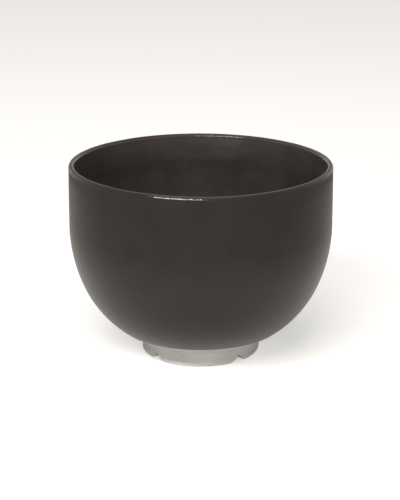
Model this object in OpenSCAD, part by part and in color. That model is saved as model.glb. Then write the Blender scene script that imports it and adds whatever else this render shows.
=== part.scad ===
// Thrown stoneware bowl on a notched foot ring, glazed inside and out down to a line above the foot.
// Sizes are in millimetres. The bowl stands on z = 0, on its axis, and the front of the bowl faces -Y.
// Every section is drawn as radius across and height up, then turned about the axis.

/* [Bowl] */
// Height from the table to the top of the lip
bowl_h = 96.6; // [84:0.2:130]
// Diameter over the widest part of the belly
belly_d = 130.5; // [116:0.5:150]
// Radius of the outside curve above the turn
upper_r = 76.5; // [68:0.5:96]
// Radius of the outside curve below the turn
lower_r = 55.8; // [50:0.2:62]
// Slope of the outside, in degrees from level, where its two curves meet
turn_slope = 68; // [60:1:76]

/* [Wall] */
// Thickness of the glazed wall at the belly
wall_w = 3.4; // [2.6:0.1:5]
// Width of the rounded lip over its glaze
lip_w = 3.15; // [2.4:0.05:5]
// Height of the inside curves over the outside ones, which thickens the wall downwards
inside_rise = 2; // [0:0.25:4]
// Thickness of the floor over the well
floor_t = 5.5; // [4:0.25:7]
// Dip of the floor in its middle
floor_dip = 0.7; // [0.3:0.1:2]

/* [Foot] */
// Diameter of the foot ring
foot_d = 59.2; // [50:0.4:70]
// Height of the foot ring outside, up to the bowl's underside
foot_h = 7.2; // [6.2:0.1:12]
// Width of the foot ring on the table
foot_w = 6; // [4.4:0.2:9]
// Rounding of the foot ring's two bottom edges
foot_edge_r = 1; // [0.4:0.1:1.8]
// Height of the flare where the foot ring meets the underside
root_h = 0.8; // [0.3:0.1:1.5]

/* [Notches] */
// Height of the notches cut up into the foot ring
notch_h = 3.3; // [2:0.1:4.2]
// Mean width of the notches on the table
notch_w = 10.8; // [7:0.2:14]
// Rounding at the top of a notch
notch_round_r = 1.2; // [0.5:0.1:1.8]

/* [Glaze] */
// Thickness of each glaze coat
glaze_t = 0.4; // [0.2:0.05:0.7]
// Diameter of the glaze line on the underside
glaze_line_d = 82.4; // [74:0.4:100]

/* [Hidden] */
$fn = 180;

// Overrun of every cut past the face it opens
over = 1;
// Widest gap left between a curve and the chords that stand for it
chord_gap = 0.005;
// Parting between the clay and the face of each glaze coat that lies on it
parting = 0.01;
// Places of the four notches round the foot, in degrees from the front towards +X
notch_angles = [-46.6, 37.7, 133, 222];
// Width of each hand-cut notch as a share of the mean width
notch_width_shares = [0.81, 1.19, 0.95, 1.05];
clay_colour = [0.66, 0.64, 0.6];
glaze_colour = [0.2, 0.18, 0.16];

// Direction in a section, at an angle counted from straight down towards the outside
function dir(angle) = [sin(angle), -cos(angle)];

// Points along an arc without its last one, which is where the next stretch of the outline starts
function arc(centre, r, from, to) =
    let (count = ceil(abs(to - from) / (2 * acos(1 - chord_gap / r))))
    [for (i = [0 : count - 1]) centre + r * dir(from + (to - from) * i / count)];

belly_r = belly_d / 2;
foot_r = foot_d / 2;
foot_inner_r = foot_r - foot_w;

// Outside curves of the glazed bowl, placed so that the bare clay inside them meets the foot at its full height
lower_clay_r = lower_r - glaze_t;
lower_x = belly_r - upper_r + (upper_r - lower_r) * sin(turn_slope);
lower_c = [lower_x, foot_h + sqrt(pow(lower_clay_r, 2) - pow(foot_r - lower_x, 2))];
upper_c = lower_c - (upper_r - lower_r) * dir(turn_slope);
glaze_slope = asin((glaze_line_d / 2 - lower_x) / lower_r);

// The well is trimmed flat from the axis out to the foot ring
seat_slope = asin((foot_inner_r - lower_x) / lower_clay_r);
well_h = lower_c.y - lower_clay_r * cos(seat_slope);

// The wall leans in slightly from the belly to the lip, which is a half round
inner_r = belly_r - wall_w;
mouth_r = inner_r + lip_w;
lip_r = lip_w / 2;
lip_c = [inner_r + lip_r, bowl_h - lip_r];

// Inside curves: the side, the lower wall, and a shallow dish for the floor, each tangent to the next
floor_z = well_h + floor_t;
inner_upper_r = upper_r - wall_w;
inner_upper_c = upper_c + [0, inside_rise];
inner_lower_r = (inner_upper_c.y - inner_upper_r * cos(turn_slope) - floor_z - floor_dip) / (1 - cos(turn_slope));
inner_lower_c = inner_upper_c + (inner_upper_r - inner_lower_r) * dir(turn_slope);
dish_r = pow(inner_lower_c.x, 2) / (2 * floor_dip) + inner_lower_r + floor_dip / 2;
dish_c = [0, floor_z + dish_r];
dish_slope = atan2(inner_lower_c.x, dish_c.y - inner_lower_c.y);

// Outside of the bowl at a depth under the glaze, from the glaze line up to the lip
function outside_line(depth) = concat(
    arc(lower_c, lower_r - depth, glaze_slope, turn_slope),
    arc(upper_c, upper_r - depth, turn_slope, 90),
    [[belly_r - depth, upper_c.y]]
);

// Inside of the bowl at a depth under the glaze, from the top of the wall down to the middle of the floor
function inside_line(depth) = concat(
    arc(inner_upper_c, inner_upper_r + depth, 90, turn_slope),
    arc(inner_lower_c, inner_lower_r + depth, turn_slope, dish_slope),
    arc(dish_c, dish_r + depth, dish_slope, 0),
    [[0, floor_z - depth]]
);

// Quarter of the lip at a depth under the glaze, from an angle about its centre
function lip_line(depth, from) = concat(
    arc(lip_c, lip_r - depth, from, from + 90),
    [lip_c + (lip_r - depth) * dir(from + 90)]
);

// The same outline, walked the other way
function reversed(points) = [for (i = [len(points) - 1 : -1 : 0]) points[i]];

// Section of the clay: the well, the bare underside, the outside, the lip and the inside
module clay_section() {
    polygon(concat(
        [[0, well_h]],
        arc(lower_c, lower_clay_r, seat_slope, glaze_slope),
        outside_line(glaze_t),
        arc(lip_c, lip_r - glaze_t, 90, 180),
        lip_line(glaze_t, 180),
        inside_line(glaze_t)
    ));
}

// Section of the foot ring before it is fitted to the underside, with its root carried on into the clay
module ring_section() {
    corner_in = [foot_inner_r + foot_edge_r, foot_edge_r];
    corner_out = [foot_r - foot_edge_r, foot_edge_r];
    polygon(concat(
        arc(corner_in, foot_edge_r, 270, 360),
        [[corner_in.x, 0]],
        arc(corner_out, foot_edge_r, 0, 90),
        [[foot_r, foot_edge_r]],
        [[foot_r, foot_h - root_h]],
        [[foot_r + 2 * root_h, foot_h + root_h]],
        [[foot_inner_r, foot_h + root_h]]
    ));
}

// Section of one notch: two straight flanks that run up to a rounded top
module notch_section(w) {
    half_w = w / 2;
    top_c = [0, notch_h - notch_round_r];
    flank_slope = atan2(top_c.y, half_w) + asin(notch_round_r / norm([half_w, top_c.y]));
    polygon(concat(
        [[-half_w, -over], [half_w, -over], [half_w, 0]],
        arc(top_c, notch_round_r, 180 - flank_slope, 180 + flank_slope),
        [top_c + notch_round_r * dir(180 + flank_slope)],
        [[-half_w, 0]]
    ));
}

// Thrown wall and floor
module clay_body() {
    color(clay_colour) rotate_extrude() clay_section();
}

// Foot ring, fitted to the curved underside and cut across at four places
module foot_ring() {
    cut_l = foot_w + 2 * over;
    color(clay_colour) difference() {
        rotate_extrude() difference() {
            ring_section();
            clay_section();
        }
        for (i = [0 : len(notch_angles) - 1])
            rotate([0, 0, notch_angles[i]])
                translate([0, over - foot_inner_r, 0])
                    rotate([90, 0, 0])
                        linear_extrude(height = cut_l) notch_section(notch_w * notch_width_shares[i]);
    }
}

// Dipped coat, from the glaze line on the underside up over the outer half of the lip
module outer_glaze() {
    color(glaze_colour) rotate_extrude() polygon(concat(
        outside_line(0),
        lip_line(0, 90),
        reversed(lip_line(glaze_t - parting, 90)),
        reversed(outside_line(glaze_t - parting))
    ));
}

// Poured coat, over the inner half of the lip and all of the inside
module inner_glaze() {
    color(glaze_colour) rotate_extrude() polygon(concat(
        lip_line(0, 180),
        inside_line(0),
        reversed(inside_line(glaze_t - parting)),
        reversed(lip_line(glaze_t - parting, 180))
    ));
}

clay_body();
foot_ring();
outer_glaze();
inner_glaze();
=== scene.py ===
"""Looks of a thrown stoneware bowl: a satin glaze inside and out, over bare clay and a notched foot ring.

Lengths are in metres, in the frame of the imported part: the bowl stands on z = 0 and its front faces -Y.
Azimuths are counted from the front towards +X. A slope is the angle of a wall from level.
"""

import logging
import math
from dataclasses import dataclass
from enum import Enum
from functools import cached_property

import bmesh
import bpy
from bmesh.types import BMesh, BMVert
from bpy.types import ID, Material, Node, NodeSocket, Object, World
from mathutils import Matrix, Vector, noise


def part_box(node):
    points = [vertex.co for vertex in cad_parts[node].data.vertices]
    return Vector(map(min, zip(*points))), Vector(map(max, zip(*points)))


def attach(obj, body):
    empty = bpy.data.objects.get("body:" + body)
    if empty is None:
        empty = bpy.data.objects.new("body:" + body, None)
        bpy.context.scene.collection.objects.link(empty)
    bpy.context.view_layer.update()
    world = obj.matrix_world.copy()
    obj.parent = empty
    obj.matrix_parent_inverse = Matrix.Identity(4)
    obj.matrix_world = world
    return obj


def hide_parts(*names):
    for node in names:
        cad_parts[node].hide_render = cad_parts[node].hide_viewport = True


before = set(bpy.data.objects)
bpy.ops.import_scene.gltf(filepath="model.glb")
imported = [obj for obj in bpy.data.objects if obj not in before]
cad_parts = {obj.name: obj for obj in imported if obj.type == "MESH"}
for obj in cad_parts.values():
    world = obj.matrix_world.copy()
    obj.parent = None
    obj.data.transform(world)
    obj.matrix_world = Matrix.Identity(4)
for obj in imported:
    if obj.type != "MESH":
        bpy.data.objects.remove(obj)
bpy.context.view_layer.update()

MM = 0.001
WELD = 0.001 * MM
NEARLY_ZERO = 1e-6
SHARP = math.radians(50)
RIGHT_ANGLE = math.pi / 2
SECTORS = 16
FEWEST_STEPS = 2
SPOT_CORE = 0.6
WHITE = (1.0, 1.0, 1.0)
IMAGE_HEIGHT = 500

# Sockets of the Mix node for the share, the two colours and the mixed colour
MIX_INPUTS = (0, 6, 7)
MIX_RESULT = 2

Colour = tuple[float, float, float]
Span = tuple[float, float]

log = logging.getLogger("bowl")


class Finish(Enum):
    """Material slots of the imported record."""

    GLAZE = "dark_glaze"
    CLAY = "bare_clay"


class Face(Enum):
    """Side of the wall that a glaze coat covers."""

    OUTSIDE = 1
    INSIDE = -1


def smooth_step(low: float, high: float, value: float) -> float:
    """Rise from 0 at low to 1 at high, level at both ends."""
    share = min(1.0, max(0.0, (value - low) / (high - low)))
    return share * share * (3 - 2 * share)


def unit(value: float) -> float:
    """Map a value between -1 and 1 to between 0 and 1."""
    return 0.5 + 0.5 * value


def smooth_min(a: float, b: float, blend: float) -> float:
    """Lesser of two lengths, with the corner between them rounded over a blend length."""
    share = max(blend - abs(a - b), 0.0) / blend
    return min(a, b) - share * share * blend / 4


def smooth_max(a: float, b: float, blend: float) -> float:
    """Greater of two lengths, with the corner between them rounded over a blend length."""
    return -smooth_min(-a, -b, blend)


def section_direction(angle: float) -> Vector:
    """Direction in a section, at an angle counted from straight down towards the outside."""
    return Vector((math.sin(angle), 0.0, -math.cos(angle)))


def from_front(azimuth: float, elevation: float = 0.0) -> Vector:
    """Direction from the axis, at an azimuth from the front towards +X and an elevation."""
    level = math.cos(elevation)
    return Vector((math.sin(azimuth) * level, -math.cos(azimuth) * level, math.sin(elevation)))


def azimuth_of(place: Vector) -> float:
    """Azimuth of a point about the axis, from the front towards +X."""
    return math.atan2(place.x, -place.y)


@dataclass(frozen=True)
class BowlForm:
    """Driving sizes of the bowl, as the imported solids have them, and the curves that follow from them."""

    height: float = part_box("outer_glaze")[1].z
    belly_radius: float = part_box("outer_glaze")[1].x
    upper_radius: float = 76.5 * MM
    lower_radius: float = 55.8 * MM
    turn_slope: float = math.radians(68)
    wall: float = 3.4 * MM
    lip: float = 3.15 * MM
    inside_rise: float = 2 * MM
    floor: float = 5.5 * MM
    floor_dip: float = 0.7 * MM
    glaze: float = 0.4 * MM
    parting: float = 0.01 * MM
    glaze_line_radius: float = 41.2 * MM
    foot_radius: float = 29.6 * MM
    foot_height: float = 7.2 * MM
    foot_width: float = 6 * MM

    @cached_property
    def clay_radius(self) -> float:
        """Radius of the lower outside curve of the clay."""
        return self.lower_radius - self.glaze

    @cached_property
    def lower_centre(self) -> Vector:
        """Centre of the lower outside curve, in the section."""
        x = self.belly_radius - self.upper_radius
        x += (self.upper_radius - self.lower_radius) * math.sin(self.turn_slope)
        rise = math.sqrt(self.clay_radius**2 - (self.foot_radius - x) ** 2)
        return Vector((x, 0.0, self.foot_height + rise))

    @cached_property
    def upper_centre(self) -> Vector:
        """Centre of the upper outside curve."""
        step = self.upper_radius - self.lower_radius
        return self.lower_centre - step * section_direction(self.turn_slope)

    @cached_property
    def glaze_slope(self) -> float:
        """Slope of the underside at the glaze line."""
        return math.asin((self.glaze_line_radius - self.lower_centre.x) / self.lower_radius)

    @cached_property
    def foot_inner_radius(self) -> float:
        """Radius of the well inside the foot ring."""
        return self.foot_radius - self.foot_width

    @cached_property
    def seat_slope(self) -> float:
        """Slope of the underside at the inner side of the foot ring."""
        return math.asin((self.foot_inner_radius - self.lower_centre.x) / self.clay_radius)

    @cached_property
    def well_height(self) -> float:
        """Height of the flat well inside the foot ring."""
        return self.lower_centre.z - self.clay_radius * math.cos(self.seat_slope)

    @cached_property
    def inner_radius(self) -> float:
        """Radius of the mouth inside the lip."""
        return self.belly_radius - self.wall

    @cached_property
    def lip_radius(self) -> float:
        """Radius of the half round of the lip."""
        return self.lip / 2

    @cached_property
    def lip_centre(self) -> Vector:
        """Centre of the half round of the lip."""
        return Vector((self.inner_radius + self.lip_radius, 0.0, self.height - self.lip_radius))

    @cached_property
    def inner_upper_centre(self) -> Vector:
        """Centre of the upper inside curve."""
        return self.upper_centre + Vector((0.0, 0.0, self.inside_rise))

    @cached_property
    def inner_upper_radius(self) -> float:
        """Radius of the upper inside curve."""
        return self.upper_radius - self.wall

    @cached_property
    def floor_height(self) -> float:
        """Height of the floor in its middle."""
        return self.well_height + self.floor

    @cached_property
    def inner_lower_radius(self) -> float:
        """Radius of the lower inside curve, which lands on the rim of the floor's dish."""
        turn_height = self.inner_upper_centre.z - self.inner_upper_radius * math.cos(self.turn_slope)
        return (turn_height - self.floor_height - self.floor_dip) / (1 - math.cos(self.turn_slope))

    @cached_property
    def inner_lower_centre(self) -> Vector:
        """Centre of the lower inside curve."""
        step = self.inner_upper_radius - self.inner_lower_radius
        return self.inner_upper_centre + step * section_direction(self.turn_slope)

    @cached_property
    def dish_radius(self) -> float:
        """Radius of the shallow dish of the floor."""
        spread = self.inner_lower_centre.x**2 / (2 * self.floor_dip)
        return spread + self.inner_lower_radius + self.floor_dip / 2

    @cached_property
    def dish_centre(self) -> Vector:
        """Centre of the floor's dish."""
        return Vector((0.0, 0.0, self.floor_height + self.dish_radius))

    @cached_property
    def dish_slope(self) -> float:
        """Slope at which the floor's dish meets the lower inside curve."""
        return math.atan2(self.inner_lower_centre.x, self.dish_centre.z - self.inner_lower_centre.z)


@dataclass(frozen=True)
class Swell:
    """One slow wave round the mouth: how many crests it has, how high they are, and where one of them is."""

    crests: int
    height: float
    azimuth: float

    def at(self, azimuth: float) -> float:
        """Height of the wave at an azimuth."""
        return self.height * math.cos(self.crests * (azimuth - self.azimuth))


@dataclass(frozen=True)
class Throwing:
    """What the hand left in the form.

    An uneven rim and a mouth out of round, finger marks, a neck outside and a roll inside under the lip,
    pressed facets on the lip, and a wavering glaze line.
    """

    swells: tuple[Swell, ...] = (
        Swell(1, 0.15 * MM, math.radians(-117.5)),
        Swell(2, 0.155 * MM, math.radians(-85.5)),
        Swell(3, 0.135 * MM, math.radians(-54)),
    )
    rim_drop: float = 0.42 * MM
    rim_jitter: float = 0.05 * MM
    jitter_length: float = 6 * MM
    warp_from: float = 30 * MM
    out_of_round: float = 0.2 * MM
    finger_pitch: float = 7 * MM
    finger_depth: float = 0.05 * MM
    dimple_length: float = 9 * MM
    dimple_depth: float = 0.06 * MM
    wander_length: float = 36 * MM
    lip_fade: float = 5 * MM
    neck_below: float = 4.3 * MM
    neck_width: float = 2.6 * MM
    neck_depth: float = 0.11 * MM
    roll_below: float = 12 * MM
    roll_width: float = 6 * MM
    roll_depth: float = 0.6 * MM
    ripple_length: float = 4 * MM
    ripple_depth: float = 0.06 * MM
    thumb_azimuth: float = math.radians(166)
    thumb_reach: float = math.radians(22)
    thumb_gain: float = 0.8
    facet_slope: float = math.radians(60)
    outer_facet_turn: float = math.radians(21)
    inner_facet_turn: float = math.radians(15)
    facet_blend: float = 0.1 * MM
    line_wave: float = 0.22 * MM
    line_wave_length: float = 9 * MM
    line_reach: float = 5 * MM

    def drop(self, azimuth: float, radius: float) -> float:
        """How far the rim lies under the highest point of the bowl.

        Args:
            azimuth: Where on the rim.
            radius: Radius of the rim.

        Returns:
            The drop, never less than zero.
        """
        place = from_front(azimuth) * (radius / self.jitter_length)
        rise = sum(swell.at(azimuth) for swell in self.swells)
        return max(0.0, self.rim_drop - rise - self.rim_jitter * noise.noise(place))

    def warped(self, place: Vector, form: BowlForm) -> Vector:
        """Move a point of the ideal bowl to where the thrown bowl has it.

        Args:
            place: A point of the ideal bowl.
            form: The bowl's sizes.

        Returns:
            The point on the thrown bowl.
        """
        share = smooth_step(self.warp_from, form.height, place.z)
        radius = math.hypot(place.x, place.y)
        if share == 0.0 or radius < MM:
            return place
        azimuth = azimuth_of(place)
        narrowing = self.out_of_round * share * math.cos(azimuth) ** 2
        scale = 1 - narrowing / radius
        drop = share * self.drop(azimuth, form.belly_radius)
        return Vector((place.x * scale, place.y * scale, place.z - drop))

    def mark_depth(self, place: Vector) -> float:
        """Depth of the spiral finger marks and of the dimples between them.

        Args:
            place: A point of a face.

        Returns:
            How far the face sinks in at that point.
        """
        turn = place.z / self.finger_pitch + azimuth_of(place) / math.tau
        wander = noise.noise(place / self.wander_length)
        groove = unit(math.cos(math.tau * (turn + wander)))
        dimple = unit(noise.noise(place / self.dimple_length))
        return self.finger_depth * groove + self.dimple_depth * dimple

    def neck(self, place: Vector, form: BowlForm) -> float:
        """Depth of the shallow neck that the fingers left outside, just under the lip."""
        away = (form.height - self.neck_below - place.z) / self.neck_width
        return self.neck_depth * math.exp(-(away**2))

    def roll(self, place: Vector, form: BowlForm) -> float:
        """Height of the soft, rippled roll round the inside under the lip.

        Args:
            place: A point of the inside.
            form: The bowl's sizes.

        Returns:
            How far the face stands in, most of all where the thumb pressed.
        """
        away = form.height - self.roll_below - place.z
        rise = self.roll_below - form.lip_radius
        if away > 0.0:
            share = math.exp(-((away / self.roll_width) ** 2))
        else:
            share = max(0.0, 1 - (away / rise) ** 2)
        aside = math.remainder(azimuth_of(place) - self.thumb_azimuth, math.tau) / self.thumb_reach
        ripple = self.ripple_depth * noise.noise(place / self.ripple_length)
        return share * (self.roll_depth + ripple) * (1 + self.thumb_gain * math.exp(-(aside**2)))

    def pressed(self, place: Vector, form: BowlForm, face: Face) -> Vector:
        """Press the round of the lip nearly flat along a narrow band.

        Args:
            place: A point of the lip.
            form: The bowl's sizes.
            face: Which side of the lip it is on.

        Returns:
            The point after the pressing.
        """
        radius = math.hypot(place.x, place.y)
        arm = Vector((radius, 0.0, place.z)) - form.lip_centre
        turn = self.outer_facet_turn if face is Face.OUTSIDE else self.inner_facet_turn
        way = Vector((face.value * math.sin(self.facet_slope), 0.0, math.cos(self.facet_slope)))
        proud = way.dot(arm)
        flat = smooth_min(proud, form.lip_radius * math.cos(turn), self.facet_blend)
        if flat >= proud or arm.z < 0.0 or radius < MM:
            return place
        moved = (flat - proud) * way
        across = Vector((place.x, place.y, 0.0)) * (1 + moved.x / radius)
        return across + Vector((0.0, 0.0, place.z + moved.z))

    def slid(self, place: Vector, form: BowlForm) -> Vector:
        """Slide a point of the outer coat along the underside, so that the glaze line wavers.

        Args:
            place: A point of the outer coat.
            form: The bowl's sizes.

        Returns:
            The point after the slide.
        """
        radius = math.hypot(place.x, place.y)
        arm = Vector((radius, 0.0, place.z)) - form.lower_centre
        slope = math.atan2(arm.x, -arm.z)
        reach = self.line_reach / form.lower_radius
        share = 1 - smooth_step(form.glaze_slope, form.glaze_slope + reach, slope)
        if share == 0.0 or arm.z > 0.0:
            return place
        around = from_front(azimuth_of(place)) * (form.glaze_line_radius / self.line_wave_length)
        turn = share * self.line_wave * noise.noise(around) / form.lower_radius
        moved = form.lower_centre + arm.length * section_direction(slope + turn)
        return Vector((place.x * moved.x / radius, place.y * moved.x / radius, moved.z))


class Section:
    """An outline in the X-Z plane, drawn stretch by stretch and then turned about the axis of the bowl."""

    def __init__(self, x: float, z: float) -> None:
        """Start at a point."""
        self.mesh = bmesh.new()
        self.tip = bmesh.ops.create_vert(self.mesh, co=(x, 0.0, z))["vert"][0]

    def line(self, x: float, z: float, steps: int = 1) -> "Section":
        """Draw a straight stretch to a point.

        Args:
            x: Radius of its end.
            z: Height of its end.
            steps: How many edges it has.

        Returns:
            The section, for the next stretch.
        """
        first = self.tip.co.copy()
        for step in range(1, steps + 1):
            self.tip = bmesh.ops.extrude_vert_indiv(self.mesh, verts=[self.tip])["verts"][0]
            self.tip.co = first.lerp(Vector((x, 0.0, z)), step / steps)
        return self

    def arc(self, centre: Vector, turn: float, steps: int) -> "Section":
        """Draw a round stretch from the last point.

        Args:
            centre: Centre of the arc.
            turn: Its angle, positive from below over the outside to above.
            steps: How many edges it has.

        Returns:
            The section, for the next stretch.
        """
        made = bmesh.ops.spin(
            self.mesh,
            geom=[self.tip],
            cent=centre,
            axis=(0.0, -1.0, 0.0),
            angle=turn,
            steps=steps,
            use_merge=False,
            use_duplicate=False,
        )
        self.tip = next(item for item in made["geom_last"] if isinstance(item, BMVert))
        return self

    def turned(self, steps: int) -> BMesh:
        """Turn the section about the axis into a closed shell: one sector first, then copies of it.

        Args:
            steps: How many facets go round, a multiple of the sectors.

        Returns:
            The shell, with its faces outwards.
        """
        mesh = self.mesh
        bmesh.ops.remove_doubles(mesh, verts=mesh.verts, dist=WELD)
        sector = math.tau / SECTORS
        rounds = ((steps // SECTORS, sector, False), (SECTORS - 1, math.tau - sector, True))
        for count, angle, copied in rounds:
            bmesh.ops.spin(
                mesh,
                geom=mesh.verts[:] + mesh.edges[:] + mesh.faces[:],
                cent=(0.0, 0.0, 0.0),
                axis=(0.0, 0.0, 1.0),
                angle=angle,
                steps=count,
                use_merge=False,
                use_duplicate=copied,
            )
        bmesh.ops.remove_doubles(mesh, verts=mesh.verts, dist=WELD)
        bmesh.ops.recalc_face_normals(mesh, faces=mesh.faces)
        mesh.normal_update()
        return mesh


def linked(name: str, data: ID) -> Object:
    """Make an object of its data and link it to the scene."""
    made = bpy.data.objects.new(name, data)
    bpy.context.scene.collection.objects.link(made)
    return made


def finished(name: str, mesh: BMesh, material: Material, node: str) -> Object:
    """Make a mesh a piece of the bowl, in place of a CAD node.

    Args:
        name: Name of the piece.
        mesh: Its mesh, which is freed.
        material: Its material.
        node: The CAD node that it replaces.

    Returns:
        The piece, riding on the bowl.
    """
    for face in mesh.faces:
        face.smooth = True
    data = bpy.data.meshes.new(name)
    mesh.to_mesh(data)
    mesh.free()
    data.set_sharp_from_angle(angle=SHARP)
    data.materials.append(material)
    piece = linked(name, data)
    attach(piece, "root")
    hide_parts(node)
    log.info("%s: %d vertices, %d faces", name, len(data.vertices), len(data.polygons))
    return piece


class Graph:
    """Node tree of a material or a world, with short calls that add nodes and join them."""

    def __init__(self, owner: Material | World) -> None:
        """Clear the owner's node tree and take it over."""
        owner.use_nodes = True
        self.tree = owner.node_tree
        self.tree.nodes.clear()

    def add(self, kind: str, **settings: object) -> Node:
        """Add a node.

        Args:
            kind: The node's type, without its ShaderNode prefix.
            **settings: Its properties by name.

        Returns:
            The node.
        """
        node = self.tree.nodes.new("ShaderNode" + kind)
        for key, value in settings.items():
            setattr(node, key, value)
        return node

    def plug(self, term: object, socket: NodeSocket) -> None:
        """Give an input socket a value, or join a socket or a node's first output to it."""
        if isinstance(term, Node):
            term = term.outputs[0]
        if isinstance(term, NodeSocket):
            self.tree.links.new(term, socket)
        else:
            socket.default_value = term

    def feed(self, node: Node, **inputs: object) -> Node:
        """Set or join inputs of a node by name.

        Args:
            node: The node.
            **inputs: A value, node or socket for each input, whose name has its spaces underscored.

        Returns:
            The node.
        """
        for key, term in inputs.items():
            self.plug(term, node.inputs[key.replace("_", " ")])
        return node

    def calc(self, operation: str, *terms: object) -> Node:
        """Add a Math node of an operation over its terms in order."""
        node = self.add("Math", operation=operation)
        for socket, term in zip(node.inputs, terms):
            self.plug(term, socket)
        return node

    def ramp(self, value: object, low: float, high: float, bottom: object = 0.0, top: object = 1.0) -> Node:
        """Map a value smoothly, from the range low to high onto the range bottom to top."""
        node = self.add("MapRange", interpolation_type="SMOOTHSTEP")
        return self.feed(node, Value=value, From_Min=low, From_Max=high, To_Min=bottom, To_Max=top)

    def blend(self, share: object, first: object, second: object) -> NodeSocket:
        """Mix two colours by the share of the second."""
        node = self.add("Mix", data_type="RGBA")
        for index, term in zip(MIX_INPUTS, (share, first, second)):
            self.plug(term, node.inputs[index])
        return node.outputs[MIX_RESULT]

    def grain(self, place: object, scale: float, detail: float = 2.0, roughness: float = 0.5) -> Node:
        """Noise over a place, with a scale in cells and some finer, rougher layers."""
        node = self.add("TexNoise")
        return self.feed(node, Vector=place, Scale=scale, Detail=detail, Roughness=roughness)

    def relief(self, height: object, depth: float, under: object = None, invert: bool = False) -> Node:
        """Raise a bump from a height.

        Args:
            height: The height, from 0 to 1.
            depth: How high 1 is, in metres.
            under: The bump that it lies on, if any.
            invert: Whether it sinks in instead.

        Returns:
            The Bump node.
        """
        node = self.feed(self.add("Bump", invert=invert), Height=height, Distance=depth, Strength=1.0)
        if under is not None:
            self.plug(under, node.inputs["Normal"])
        return node

    def millimetres(self) -> Node:
        """Object coordinates in millimetres."""
        coordinates = self.add("TexCoord").outputs["Object"]
        return self.feed(self.add("Mapping"), Vector=coordinates, Scale=(1 / MM, 1 / MM, 1 / MM))

    def axes(self, place: object) -> Node:
        """The three coordinates of a place."""
        return self.feed(self.add("SeparateXYZ"), Vector=place)

    def spots(self, place: object, scale: float, radius: float, rarity: float) -> Node:
        """Scattered round spots of differing sizes.

        Args:
            place: Coordinates in millimetres.
            scale: How many cells there are to a millimetre.
            radius: Radius of the largest spots in millimetres.
            rarity: Share of the cells that hold none.

        Returns:
            A node that gives 1 in the spots and 0 between them.
        """
        cells = self.feed(self.add("TexVoronoi"), Vector=place, Scale=scale, Randomness=1.0)
        pick = self.feed(self.add("SeparateColor"), Color=cells.outputs["Color"])
        reach = self.ramp(pick.outputs["Green"], rarity, 1.0, 0.0, radius * scale)
        safe = self.calc("MAXIMUM", reach, NEARLY_ZERO)
        edge = self.calc("DIVIDE", cells.outputs["Distance"], safe)
        return self.ramp(edge, SPOT_CORE, 1.0, 1.0, 0.0)

    def length(self, way: object) -> NodeSocket:
        """Length of a vector."""
        return self.feed(self.add("VectorMath", operation="LENGTH"), Vector=way).outputs["Value"]

    def mirrored(self, path: Node) -> Node:
        """Whether a light path came by a reflection or through something clear."""
        return self.calc("MAXIMUM", path.outputs["Is Glossy Ray"], path.outputs["Is Transmission Ray"])

    def finish(self, shader: Node, kind: str) -> None:
        """Join a shader to a new output node of a kind."""
        self.plug(shader, self.add(kind).inputs[0])


def rgba(colour: Colour, share: float = 1.0) -> tuple[float, float, float, float]:
    """Opaque form of a linear colour, made lighter or darker by a share."""
    return (*(part * share for part in colour), 1.0)


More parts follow.
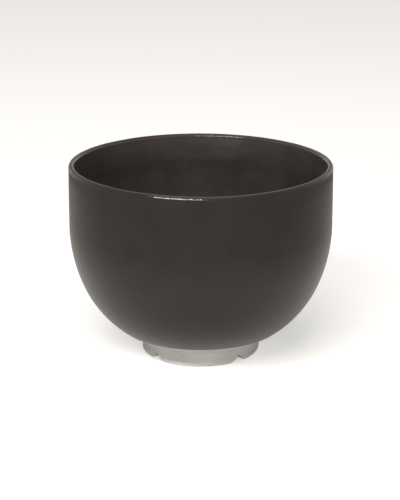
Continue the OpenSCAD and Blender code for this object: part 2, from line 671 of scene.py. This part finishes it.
@dataclass(frozen=True)
class GlazeFinish:
    """Dark satin glaze: a slight mottle, fine grain, soft ripples, and pinholes here and there.

    The lip is darker, with a glossy band on it, and a dipped coat is drier in the neck below. Heights
    and radii are in millimetres, and scales are cells to a millimetre.
    """

    name: str
    colour: Colour
    dry_gain: float
    lip_colour: Colour = (0.010, 0.008, 0.0065)
    roughness: float = 0.36
    roughness_swing: float = 0.08
    ior: float = 1.35
    mottle_scale: float = 0.07
    mottle_swing: float = 0.12
    mottle_span: Span = (0.35, 0.65)
    speck_scale: float = 1.1
    speck_gain: float = 1.9
    speck_share: float = 0.5
    speck_span: Span = (0.62, 0.74)
    grain_scale: float = 4.5
    grain_depth: float = 0.0022 * MM
    ripple_scale: float = 0.22
    ripple_depth: float = 0.018 * MM
    pinhole_scale: float = 0.11
    pinhole_radius: float = 0.26
    pinhole_rarity: float = 0.4
    pinhole_depth: float = 0.05 * MM
    pinhole_shade: float = 0.4
    gloss_span: Span = (94.2, 94.9)
    matt_span: Span = (95.8, 96.2)
    dry_span: Span = (88.5, 93.5)
    lip_span: Span = (95.2, 96.1)
    lip_roughness_share: float = 0.3
    bead_scale: float = 0.75
    bead_depth: float = 0.055 * MM

    def material(self) -> Material:
        """Build the glaze's node material."""
        made = bpy.data.materials.new(self.name)
        graph = Graph(made)
        place = graph.millimetres()
        mottle = graph.grain(place, self.mottle_scale, detail=3.0)
        speck = graph.grain(place, self.speck_scale, detail=4.0, roughness=0.6)
        grain = graph.grain(place, self.grain_scale, detail=3.0, roughness=0.6)
        ripple = graph.grain(place, self.ripple_scale, detail=1.0)
        hole = graph.spots(place, self.pinhole_scale, self.pinhole_radius, self.pinhole_rarity)

        dark = rgba(self.colour, 1 - self.mottle_swing)
        light = rgba(self.colour, 1 + self.mottle_swing)
        base = graph.blend(graph.ramp(mottle, *self.mottle_span), dark, light)
        strength = graph.ramp(speck, *self.speck_span, top=self.speck_share)
        dotted = graph.blend(strength, base, rgba(self.colour, self.speck_gain))
        height = graph.axes(place).outputs["Z"]
        on_lip = graph.ramp(height, *self.lip_span)
        lipped = graph.blend(on_lip, dotted, rgba(self.lip_colour))
        colour = graph.blend(hole, lipped, rgba(self.colour, self.pinhole_shade))

        above = graph.ramp(height, *self.matt_span, 1.0, 0.0)
        glossy = graph.calc("MULTIPLY", graph.ramp(height, *self.gloss_span), above)
        least = self.roughness - self.roughness_swing / 2
        matt = graph.calc("MULTIPLY_ADD", speck, self.roughness_swing, least)
        dry = graph.ramp(height, *self.dry_span, 1.0, 1.0 + self.dry_gain)
        gain = graph.feed(graph.add("MapRange"), Value=glossy, To_Min=dry, To_Max=self.lip_roughness_share)
        rough = graph.calc("MULTIPLY", matt, gain)
        bead = graph.calc("MULTIPLY", graph.grain(place, self.bead_scale, detail=1.0), glossy)
        waves = graph.relief(bead, self.bead_depth, graph.relief(ripple, self.ripple_depth))
        fine = graph.relief(grain, self.grain_depth, waves)
        pits = graph.relief(hole, self.pinhole_depth, fine, invert=True)
        shader = graph.add("BsdfPrincipled")
        graph.feed(shader, Base_Color=colour, Roughness=rough, IOR=self.ior, Normal=pits)
        graph.finish(shader, "OutputMaterial")
        return made


@dataclass(frozen=True)
class ClayFinish:
    """Bare pale stoneware: matt and fine grained, with turning marks and sparse iron specks.

    The clay is painted paler towards the base, as painted bounce light from the floor. Heights and radii are
    in millimetres, scales are cells to a millimetre.
    """

    name: str = "bare_stoneware"
    colour: Colour = (0.548, 0.543, 0.533)
    speck_colour: Colour = (0.16, 0.13, 0.11)
    roughness: float = 0.82
    cloud_scale: float = 0.12
    cloud_span: Span = (0.3, 0.7)
    cloud_shade: float = 0.95
    cloud_gain: float = 1.04
    grain_scale: float = 3.2
    grain_span: Span = (0.3, 0.75)
    grain_share: float = 0.4
    grain_shade: float = 0.8
    grain_depth: float = 0.03 * MM
    mark_scale: float = 1.3
    mark_depth: float = 0.03 * MM
    speck_scale: float = 0.5
    speck_radius: float = 0.45
    speck_rarity: float = 0.3
    speck_share: float = 0.9
    # Painted light: the clay turns paler towards the base, for bounce light from the floor
    painted_base_light_span: Span = (1.2, 2.6)
    painted_base_light_gain: float = 1.1

    def material(self) -> Material:
        """Build the clay's node material."""
        made = bpy.data.materials.new(self.name)
        graph = Graph(made)
        place = graph.millimetres()
        axes = graph.axes(place)
        level = graph.feed(graph.add("CombineXYZ"), X=axes.outputs["X"], Y=axes.outputs["Y"])
        along = graph.calc("ADD", graph.length(level), axes.outputs["Z"])
        marks = graph.add("TexNoise", noise_dimensions="1D")
        graph.feed(marks, W=along, Scale=self.mark_scale, Detail=3.0)
        cloud = graph.grain(place, self.cloud_scale, detail=3.0)
        grain = graph.grain(place, self.grain_scale, detail=4.0, roughness=0.65)
        speck = graph.spots(place, self.speck_scale, self.speck_radius, self.speck_rarity)

        dark = rgba(self.colour, self.cloud_shade)
        light = rgba(self.colour, self.cloud_gain)
        base = graph.blend(graph.ramp(cloud, *self.cloud_span), dark, light)
        # Painted light: paler towards the base, for bounce light from the floor
        painted_base_light = graph.ramp(axes.outputs["Z"], *self.painted_base_light_span, 1.0, 0.0)
        paler = graph.blend(painted_base_light, base, rgba(self.colour, self.painted_base_light_gain))
        coarse = graph.ramp(grain, *self.grain_span, top=self.grain_share)
        grained = graph.blend(coarse, paler, rgba(self.colour, self.grain_shade))
        specked = graph.calc("MULTIPLY", speck, self.speck_share)
        colour = graph.blend(specked, grained, rgba(self.speck_colour))

        lines = graph.relief(marks, self.mark_depth)
        rough = graph.relief(grain, self.grain_depth, lines)
        shader = graph.add("BsdfPrincipled")
        graph.feed(shader, Base_Color=colour, Roughness=self.roughness, Normal=rough)
        graph.finish(shader, "OutputMaterial")
        return made


@dataclass
class GlazeCoats:
    """The two coats: the dipped one outside and the poured one inside, which meet on top of the lip."""

    form: BowlForm
    throwing: Throwing
    dipped: GlazeFinish = GlazeFinish("dipped_glaze", (0.0137, 0.0112, 0.0088), 0.45)
    # The poured coat's colour is about three times lighter than the dipped coat's: painted light that stands
    # in for the light the shaded inside of the bowl lacks.
    poured: GlazeFinish = GlazeFinish("poured_glaze_painted_light", (0.0450, 0.0390, 0.0345), 0.0)
    turns: int = 320
    face_edge: float = 0.9 * MM
    lip_steps: int = 18
    seam_turn: float = math.radians(0.6)
    edge_steps: int = 6
    hidden_steps: int = 12
    outside_share: float = 0.4
    inside_share: float = 1.0
    shown_span: Span = (0.1, 0.5)

    def build(self) -> None:
        """Build and dress both coats."""
        outer = self.thrown(self.outer_section().turned(self.turns), Face.OUTSIDE)
        finished("outer_coat", outer, self.dipped.material(), "outer_glaze")
        inner = self.thrown(self.inner_section().turned(self.turns), Face.INSIDE)
        finished("inner_coat", inner, self.poured.material(), "inner_glaze")

    @property
    def depth(self) -> float:
        """Thickness of a coat, less its parting from the clay."""
        return self.form.glaze - self.form.parting

    def steps(self, length: float) -> int:
        """How many edges a visible stretch of a length has."""
        return max(FEWEST_STEPS, round(length / self.face_edge))

    def outer_section(self) -> Section:
        """Section of the dipped coat, from its rounded edge at the glaze line up to the top of the lip."""
        form = self.form
        rise = form.turn_slope - form.glaze_slope
        up = RIGHT_ANGLE - form.turn_slope
        radial = section_direction(form.glaze_slope)
        start = form.lower_centre + (form.lower_radius - self.depth) * radial
        edge_centre = form.lower_centre + (form.lower_radius - self.depth / 2) * radial
        side = form.lip_centre.z - form.upper_centre.z
        return (
            Section(start.x, start.z)
            .arc(edge_centre, math.pi, self.edge_steps)
            .arc(form.lower_centre, rise, self.steps(form.lower_radius * rise))
            .arc(form.upper_centre, up, self.steps(form.upper_radius * up))
            .line(form.lip_centre.x + form.lip_radius, form.lip_centre.z, self.steps(side))
            .arc(form.lip_centre, RIGHT_ANGLE - self.seam_turn, self.lip_steps)
            .arc(form.lip_centre, self.seam_turn, 1)
            .line(form.lip_centre.x, form.height - self.depth)
            .arc(form.lip_centre, -RIGHT_ANGLE, self.lip_steps)
            .line(form.belly_radius - self.depth, form.upper_centre.z, self.hidden_steps)
            .arc(form.upper_centre, -up, self.hidden_steps)
            .arc(form.lower_centre, -rise, self.hidden_steps)
        )

    def inner_section(self) -> Section:
        """Section of the poured coat, from the top of the lip down to the middle of the floor."""
        form = self.form
        up = RIGHT_ANGLE - form.turn_slope
        rise = form.turn_slope - form.dish_slope
        side = form.lip_centre.z - form.inner_upper_centre.z
        return (
            Section(form.lip_centre.x, form.height)
            .arc(form.lip_centre, self.seam_turn, 1)
            .arc(form.lip_centre, RIGHT_ANGLE - self.seam_turn, self.lip_steps)
            .line(form.inner_radius, form.inner_upper_centre.z, self.steps(side))
            .arc(form.inner_upper_centre, -up, self.steps(form.inner_upper_radius * up))
            .arc(form.inner_lower_centre, -rise, self.steps(form.inner_lower_radius * rise))
            .arc(form.dish_centre, -form.dish_slope, self.steps(form.dish_radius * form.dish_slope))
            .line(0.0, form.floor_height - self.depth)
            .arc(form.dish_centre, form.dish_slope, FEWEST_STEPS)
            .arc(form.inner_lower_centre, rise, self.hidden_steps)
            .arc(form.inner_upper_centre, up, self.hidden_steps)
            .line(form.inner_radius + self.depth, form.lip_centre.z, self.hidden_steps)
            .arc(form.lip_centre, -RIGHT_ANGLE, self.lip_steps)
            .line(form.lip_centre.x, form.height)
        )

    def thrown(self, mesh: BMesh, face: Face) -> BMesh:
        """Give a coat what the hand left in it: marks, neck, roll, facets, wavering edge and uneven rim.

        Args:
            mesh: The coat as turned.
            face: Which side of the wall it covers.

        Returns:
            The same mesh.
        """
        form = self.form
        share = self.outside_share if face is Face.OUTSIDE else self.inside_share
        lip_from = form.lip_centre.z - self.throwing.lip_fade
        for vert in mesh.verts:
            outwards = Vector((vert.co.x, vert.co.y, 0.0)).normalized().dot(vert.normal)
            seen = outwards if face is Face.OUTSIDE else max(-outwards, vert.normal.z)
            shown = smooth_step(*self.shown_span, seen)
            lip = smooth_step(lip_from, form.lip_centre.z, vert.co.z)
            depth = share * (1 - lip) * self.throwing.mark_depth(vert.co)
            if face is Face.OUTSIDE:
                depth += self.throwing.neck(vert.co, form)
            else:
                depth -= self.throwing.roll(vert.co, form)
            place = vert.co - shown * depth * vert.normal
            if lip > 0.0:
                place = self.throwing.pressed(place, form, face)
            if face is Face.OUTSIDE:
                place = self.throwing.slid(place, form)
            vert.co = self.throwing.warped(place, form)
        mesh.normal_update()
        return mesh


@dataclass
class ClayWall:
    """The thrown wall and floor under the glaze, bare from the glaze line down and in the well."""

    form: BowlForm
    throwing: Throwing
    turns: int = 320
    face_edge: float = 0.7 * MM
    hidden_steps: int = 12
    lip_steps: int = 12
    groove_pitch: float = 2.3 * MM
    groove_depth: float = 0.05 * MM
    grooved_below: float = 14.4 * MM
    wander_length: float = 9.2 * MM
    wander_share: float = 0.4
    root_clearance: float = 2 * MM

    def build(self, material: Material) -> None:
        """Build and dress the wall."""
        mesh = self.section().turned(self.turns)
        for vert in mesh.verts:
            sunk = vert.co - self.groove(vert.co) * vert.normal
            vert.co = self.throwing.warped(sunk, self.form)
        mesh.normal_update()
        finished("clay_wall", mesh, material, "clay_body")

    def section(self) -> Section:
        """Section of the clay: the well, the underside, the outside, the lip and the inside."""
        form = self.form
        seat = form.glaze_slope - form.seat_slope
        rise = form.turn_slope - form.glaze_slope
        up = RIGHT_ANGLE - form.turn_slope
        inner_rise = form.turn_slope - form.dish_slope
        side = form.lip_centre.x + form.lip_radius - form.glaze
        inner_side = form.inner_radius + form.glaze
        well_steps = round(form.foot_inner_radius / self.face_edge)
        seat_steps = round(form.clay_radius * seat / self.face_edge)
        return (
            Section(0.0, form.well_height)
            .line(form.foot_inner_radius, form.well_height, well_steps)
            .arc(form.lower_centre, seat, seat_steps)
            .arc(form.lower_centre, rise, self.hidden_steps)
            .arc(form.upper_centre, up, self.hidden_steps)
            .line(side, form.lip_centre.z, self.hidden_steps)
            .arc(form.lip_centre, math.pi, 2 * self.lip_steps)
            .line(inner_side, form.inner_upper_centre.z, self.hidden_steps)
            .arc(form.inner_upper_centre, -up, self.hidden_steps)
            .arc(form.inner_lower_centre, -inner_rise, self.hidden_steps)
            .arc(form.dish_centre, -form.dish_slope, FEWEST_STEPS)
        )

    def groove(self, place: Vector) -> float:
        """Depth of the grooves that trimming left on the bare underside and in the well.

        Args:
            place: A point of the clay.

        Returns:
            How far the face sinks in, zero where the foot or the glaze covers it.
        """
        form = self.form
        radius = math.hypot(place.x, place.y)
        if place.z > self.grooved_below:
            return 0.0
        gap = self.root_clearance
        under = smooth_step(form.foot_radius, form.foot_radius + gap, radius)
        under *= 1 - smooth_step(form.glaze_line_radius - gap, form.glaze_line_radius, radius)
        inside = 1 - smooth_step(form.foot_inner_radius - gap, form.foot_inner_radius, radius)
        wander = self.wander_share * noise.noise(place / self.wander_length)
        wave = unit(math.cos(math.tau * (radius / self.groove_pitch + wander)))
        return self.groove_depth * wave * (under + inside)


@dataclass(frozen=True)
class Flank:
    """One side of a notch: where it starts, its rise over its run, and how softly it meets the base."""

    start: float
    steepness: float
    run_out: float

    def height_at(self, top: float, across: float) -> float:
        """Height of the cut at a distance from the middle of a notch with a given top."""
        return smooth_max(0.0, top + self.steepness * (self.start - across), self.run_out)


@dataclass(frozen=True)
class Notch:
    """A notch cut across the foot by hand: its place round the foot, its height and its two flanks."""

    azimuth: float
    height: float
    left: Flank
    right: Flank
    crown: float = 0.3 * MM

    def height_at(self, place: Vector) -> float:
        """Height of the cut above the base of the foot.

        Args:
            place: A point of the foot.

        Returns:
            The height, zero beside the notch.
        """
        if from_front(self.azimuth).dot(place) < 0.0:
            return 0.0
        across = from_front(self.azimuth + RIGHT_ANGLE).dot(place)
        flank = self.right if across > 0.0 else self.left
        return smooth_min(flank.height_at(self.height, abs(across)), self.height, self.crown)


@dataclass(frozen=True)
class Lobe:
    """A stretch of the foot whose outer edge is tucked in at the base, or flared out by a negative tuck."""

    azimuth: float
    half_angle: float
    tuck: float
    fade: float = math.radians(8)

    def tuck_at(self, azimuth: float) -> float:
        """How far the outer edge of the base is tucked in at an azimuth."""
        away = abs(math.remainder(azimuth - self.azimuth, math.tau))
        return self.tuck * (1 - smooth_step(self.half_angle, self.half_angle + self.fade, away))


@dataclass
class FootRing:
    """The ring of clay under the bowl: rounded edges, a fillet to the underside and four notches."""

    form: BowlForm
    turns: int = 720
    edge_radius: float = 0.7 * MM
    fillet: float = 3.5 * MM
    wall_steps: int = 12
    base_steps: int = 6
    edge_steps: int = 7
    fillet_steps: int = 7
    seat_steps: int = 8
    fixed_above: float = 6 * MM
    dent_length: float = 5 * MM
    dent_depth: float = 0.12 * MM
    dent_fade: float = 0.3
    tuck_height: float = 3.2 * MM
    notches: tuple[Notch, ...] = (
        Notch(math.radians(-47.2), 3.8 * MM, Flank(0.0, 1.6, 4.5 * MM), Flank(0.2 * MM, 1.1, 2.5 * MM)),
        Notch(math.radians(40.2), 3.6 * MM, Flank(0.1 * MM, 0.82, 2 * MM), Flank(0.0, 1.7, 4.5 * MM)),
        Notch(math.radians(133), 3.3 * MM, Flank(0.5 * MM, 0.9, 2.5 * MM), Flank(0.5 * MM, 1.2, 3 * MM)),
        Notch(math.radians(222), 3.3 * MM, Flank(0.6 * MM, 1.4, 3 * MM), Flank(0.4 * MM, 0.8, 2.5 * MM)),
    )
    lobes: tuple[Lobe, ...] = (
        Lobe(math.radians(86), math.radians(38), 0.1 * MM),
        Lobe(math.radians(-92), math.radians(36), -0.12 * MM),
        Lobe(math.radians(-24), math.radians(18), -0.7 * MM),
    )

    def build(self, material: Material) -> None:
        """Build and dress the foot."""
        mesh = self.section().turned(self.turns)
        for vert in mesh.verts:
            vert.co = self.cut(vert.co, vert.normal)
        mesh.normal_update()
        finished("foot", mesh, material, "foot_ring")

    def section(self) -> Section:
        """Section of the ring: inner wall, base, outer wall, fillet, and the seat along the underside."""
        form = self.form
        inner = form.foot_inner_radius
        fillet_x = form.foot_radius + self.fillet
        reach = fillet_x - form.lower_centre.x
        fillet_z = form.lower_centre.z - math.sqrt((form.clay_radius + self.fillet) ** 2 - reach**2)
        fillet_centre = Vector((fillet_x, 0.0, fillet_z))
        root_slope = math.asin(reach / (form.clay_radius + self.fillet))
        inner_edge = Vector((inner + self.edge_radius, 0.0, self.edge_radius))
        outer_edge = Vector((form.foot_radius - self.edge_radius, 0.0, self.edge_radius))
        return (
            Section(inner, form.well_height)
            .line(inner, self.edge_radius, self.wall_steps)
            .arc(inner_edge, RIGHT_ANGLE, self.edge_steps)
            .line(outer_edge.x, 0.0, self.base_steps)
            .arc(outer_edge, RIGHT_ANGLE, self.edge_steps)
            .line(form.foot_radius, fillet_z, self.wall_steps)
            .arc(fillet_centre, -(RIGHT_ANGLE - root_slope), self.fillet_steps)
            .arc(form.lower_centre, form.seat_slope - root_slope, self.seat_steps)
        )

    def cut(self, place: Vector, normal: Vector) -> Vector:
        """Move a point of the plain ring to where the hand-cut ring has it.

        Args:
            place: A point of the plain ring.
            normal: Its normal.

        Returns:
            The point, lifted over a notch, sunk by the dents and tucked in or flared out by a lobe.
        """
        if place.z >= self.fixed_above:
            return place
        share = 1 - place.z / self.fixed_above
        base = max(notch.height_at(place) for notch in self.notches)
        dent = unit(noise.noise(place / self.dent_length))
        inwards = smooth_step(0.0, self.dent_fade, share) * self.dent_depth * dent
        level = Vector((normal.x, normal.y, 0.0))
        if level.dot(place) > 0.0:
            low = max(0.0, 1 - place.z / self.tuck_height)
            inwards += low * low * sum(lobe.tuck_at(azimuth_of(place)) for lobe in self.lobes)
        lifted = place + Vector((0.0, 0.0, base * share)) - inwards * level
        return self.squared(lifted, place, smooth_step(0.0, self.edge_radius, base))

    def squared(self, lifted: Vector, place: Vector, share: float) -> Vector:
        """Undo the rounding of the bottom edges where a notch has cut it away.

        Args:
            lifted: The point as lifted by the cut.
            place: The same point of the plain ring.
            share: How much of the rounding is gone.

        Returns:
            The point, moved out or in to the wall of the ring that it is next to.
        """
        radius = math.hypot(place.x, place.y)
        middle = self.form.foot_radius - self.form.foot_width / 2
        wall = self.form.foot_radius if radius > middle else self.form.foot_inner_radius
        gap = wall - radius
        if place.z >= self.edge_radius or abs(gap) > self.edge_radius + WELD:
            return lifted
        return lifted + Vector((place.x, place.y, 0.0)) * (share * gap / radius)


def aim(holder: Object, target: Vector, azimuth: float, elevation: float, distance: float) -> None:
    """Place a light or the camera in a direction from its target, and turn it to the target."""
    way = from_front(azimuth, elevation)
    holder.location = target + distance * way
    holder.rotation_euler = way.to_track_quat("Z", "Y").to_euler()


@dataclass(frozen=True)
class SoftLight:
    """A soft box that looks at the bowl."""

    name: str
    azimuth: float
    elevation: float
    width: float
    height: float
    power: float
    distance: float = 1.2

    def place(self, target: Vector, colour: Colour) -> None:
        """Hang the light, turned to a target and lit in a colour."""
        lamp = bpy.data.lights.new(self.name, "AREA")
        lamp.shape = "RECTANGLE"
        lamp.size = self.width
        lamp.size_y = self.height
        lamp.energy = self.power
        lamp.color = colour
        aim(linked(self.name, lamp), target, self.azimuth, self.elevation, self.distance)


@dataclass
class Studio:
    """Pale floor, soft surroundings, a strip light, a soft box overhead, and the camera."""

    floor_size: float = 4.0
    floor_colour: Colour = (0.82, 0.8, 0.77)
    seen_lift: float = 0.5
    # Painted light and shade for reflections of the floor: a glow round the bowl, its span, the painted
    # shade close to the bowl, and how much brighter in front and dimmer behind it is
    painted_reflected_glow: float = 0.66
    painted_glow_span: Span = (50 * MM, 420 * MM)
    painted_shade_share: float = 0.6
    painted_shade_span: Span = (50 * MM, 110 * MM)
    painted_front_glow_share: float = 1.18
    painted_back_glow_share: float = 0.8
    light_colour: Colour = (1.04, 1.0, 0.95)
    lights: tuple[SoftLight, ...] = (
        SoftLight("key", math.radians(-20), math.radians(42), width=0.8, height=0.07, power=8.6),
        SoftLight("overhead", math.radians(-18), math.radians(80), width=1.0, height=1.0, power=5.4),
    )
    light_azimuth: float = math.radians(3)
    dim_level: float = 0.012
    bright_level: float = 1.62
    facing_span: Span = (-0.36, 1.2)
    rise_span: Span = (0.08, 0.45)
    high_share: float = 0.54
    camera_distance: float = 714.9 * MM
    camera_elevation: float = math.radians(17.54)
    aim_aside: float = -0.4 * MM
    aim_height: float = 50.95 * MM
    focal_pixels: float = 1427
    sensor: float = 36.0
    clip_start: float = 10 * MM

    def build(self) -> None:
        """Set up floor, surroundings, light and camera."""
        self.floor()
        self.surroundings()
        for light in self.lights:
            light.place(self.target, self.light_colour)
        self.camera()
        bpy.context.scene.view_settings.view_transform = "Standard"
        log.info("studio: floor, surroundings, camera and %d lights", len(self.lights))

    @property
    def target(self) -> Vector:
        """The place that camera and lights are turned to."""
        return Vector((self.aim_aside, 0.0, self.aim_height))

    def floor(self) -> None:
        """Lay the floor.

        Rays that show it find it lifted towards white. Reflections of it also find a painted glow: a painted
        patch of light round the bowl, brighter in front, dimmer behind and fading further out, with painted
        shade close to the bowl.
        """
        mesh = bmesh.new()
        bmesh.ops.create_grid(mesh, x_segments=1, y_segments=1, size=self.floor_size / 2)
        data = bpy.data.meshes.new("floor")
        mesh.to_mesh(data)
        mesh.free()
        made = bpy.data.materials.new("pale_floor")
        graph = Graph(made)
        path = graph.add("LightPath")
        place = graph.add("TexCoord").outputs["Object"]
        reach = graph.length(place)
        # Painted light and shade in reflections: a glow round the bowl, brighter in front and dimmer behind,
        # with painted shade close to the bowl
        behind = graph.calc("DIVIDE", graph.axes(place).outputs["Y"], reach)
        side = graph.ramp(behind, -1.0, 1.0, self.painted_front_glow_share, self.painted_back_glow_share)
        shade = graph.ramp(reach, *self.painted_shade_span, self.painted_shade_share, 1.0)
        painted_light_patch = graph.ramp(reach, *self.painted_glow_span, self.painted_reflected_glow, 0.0)
        painted_glow = graph.calc("MULTIPLY", graph.calc("MULTIPLY", side, shade), painted_light_patch)
        mirrored = graph.mirrored(path)
        seen = graph.calc("MULTIPLY", path.outputs["Is Camera Ray"], self.seen_lift)
        lift = graph.calc("MULTIPLY_ADD", mirrored, painted_glow, seen)
        matt = graph.feed(graph.add("BsdfDiffuse"), Color=rgba(self.floor_colour))
        glow = graph.feed(graph.add("Emission"), Strength=lift)
        both = graph.add("AddShader")
        graph.plug(matt, both.inputs[0])
        graph.plug(glow, both.inputs[1])
        graph.finish(both, "OutputMaterial")
        data.materials.append(made)
        floor = linked("floor", data)

    def surroundings(self) -> None:
        """Light the bowl from the camera's side, most of all low down.

        Rays that show the surroundings find white.
        """
        world = bpy.data.worlds.new("studio")
        bpy.context.scene.world = world
        graph = Graph(world)
        way = graph.add("TexCoord").outputs["Generated"]
        facing = graph.add("VectorMath", operation="DOT_PRODUCT")
        graph.plug(way, facing.inputs[0])
        graph.plug(from_front(self.light_azimuth), facing.inputs[1])
        share = facing.outputs["Value"]
        level = graph.ramp(share, *self.facing_span, self.dim_level, self.bright_level)
        rise = graph.axes(way).outputs["Z"]
        fall = graph.ramp(rise, *self.rise_span, 1.0, self.high_share)
        level = graph.calc("MULTIPLY", level, fall)
        path = graph.add("LightPath")
        mirrored = graph.mirrored(path)
        seen = graph.calc("MAXIMUM", path.outputs["Is Camera Ray"], mirrored)
        strength = graph.feed(graph.add("MapRange"), Value=seen, To_Min=level, To_Max=1.0)
        colour = graph.blend(path.outputs["Is Camera Ray"], rgba(self.light_colour), rgba(WHITE))
        background = graph.feed(graph.add("Background"), Color=colour, Strength=strength)
        graph.finish(background, "OutputWorld")

    def camera(self) -> None:
        """Place the camera."""
        data = bpy.data.cameras.new("camera")
        data.sensor_fit = "VERTICAL"
        data.sensor_height = self.sensor
        data.lens = self.sensor * self.focal_pixels / IMAGE_HEIGHT
        data.clip_start = self.clip_start
        holder = linked("camera", data)
        aim(holder, self.target, 0.0, self.camera_elevation, self.camera_distance)
        bpy.context.scene.camera = holder


def main() -> None:
    """Build the bowl and its studio, and report each piece."""
    logging.basicConfig(level=logging.INFO, format="%(name)s: %(message)s")
    form = BowlForm()
    throwing = Throwing()
    clay = ClayFinish().material()
    Studio().build()
    ClayWall(form, throwing).build(clay)
    FootRing(form).build(clay)
    GlazeCoats(form, throwing).build()


if __name__ == "__main__":
    main()
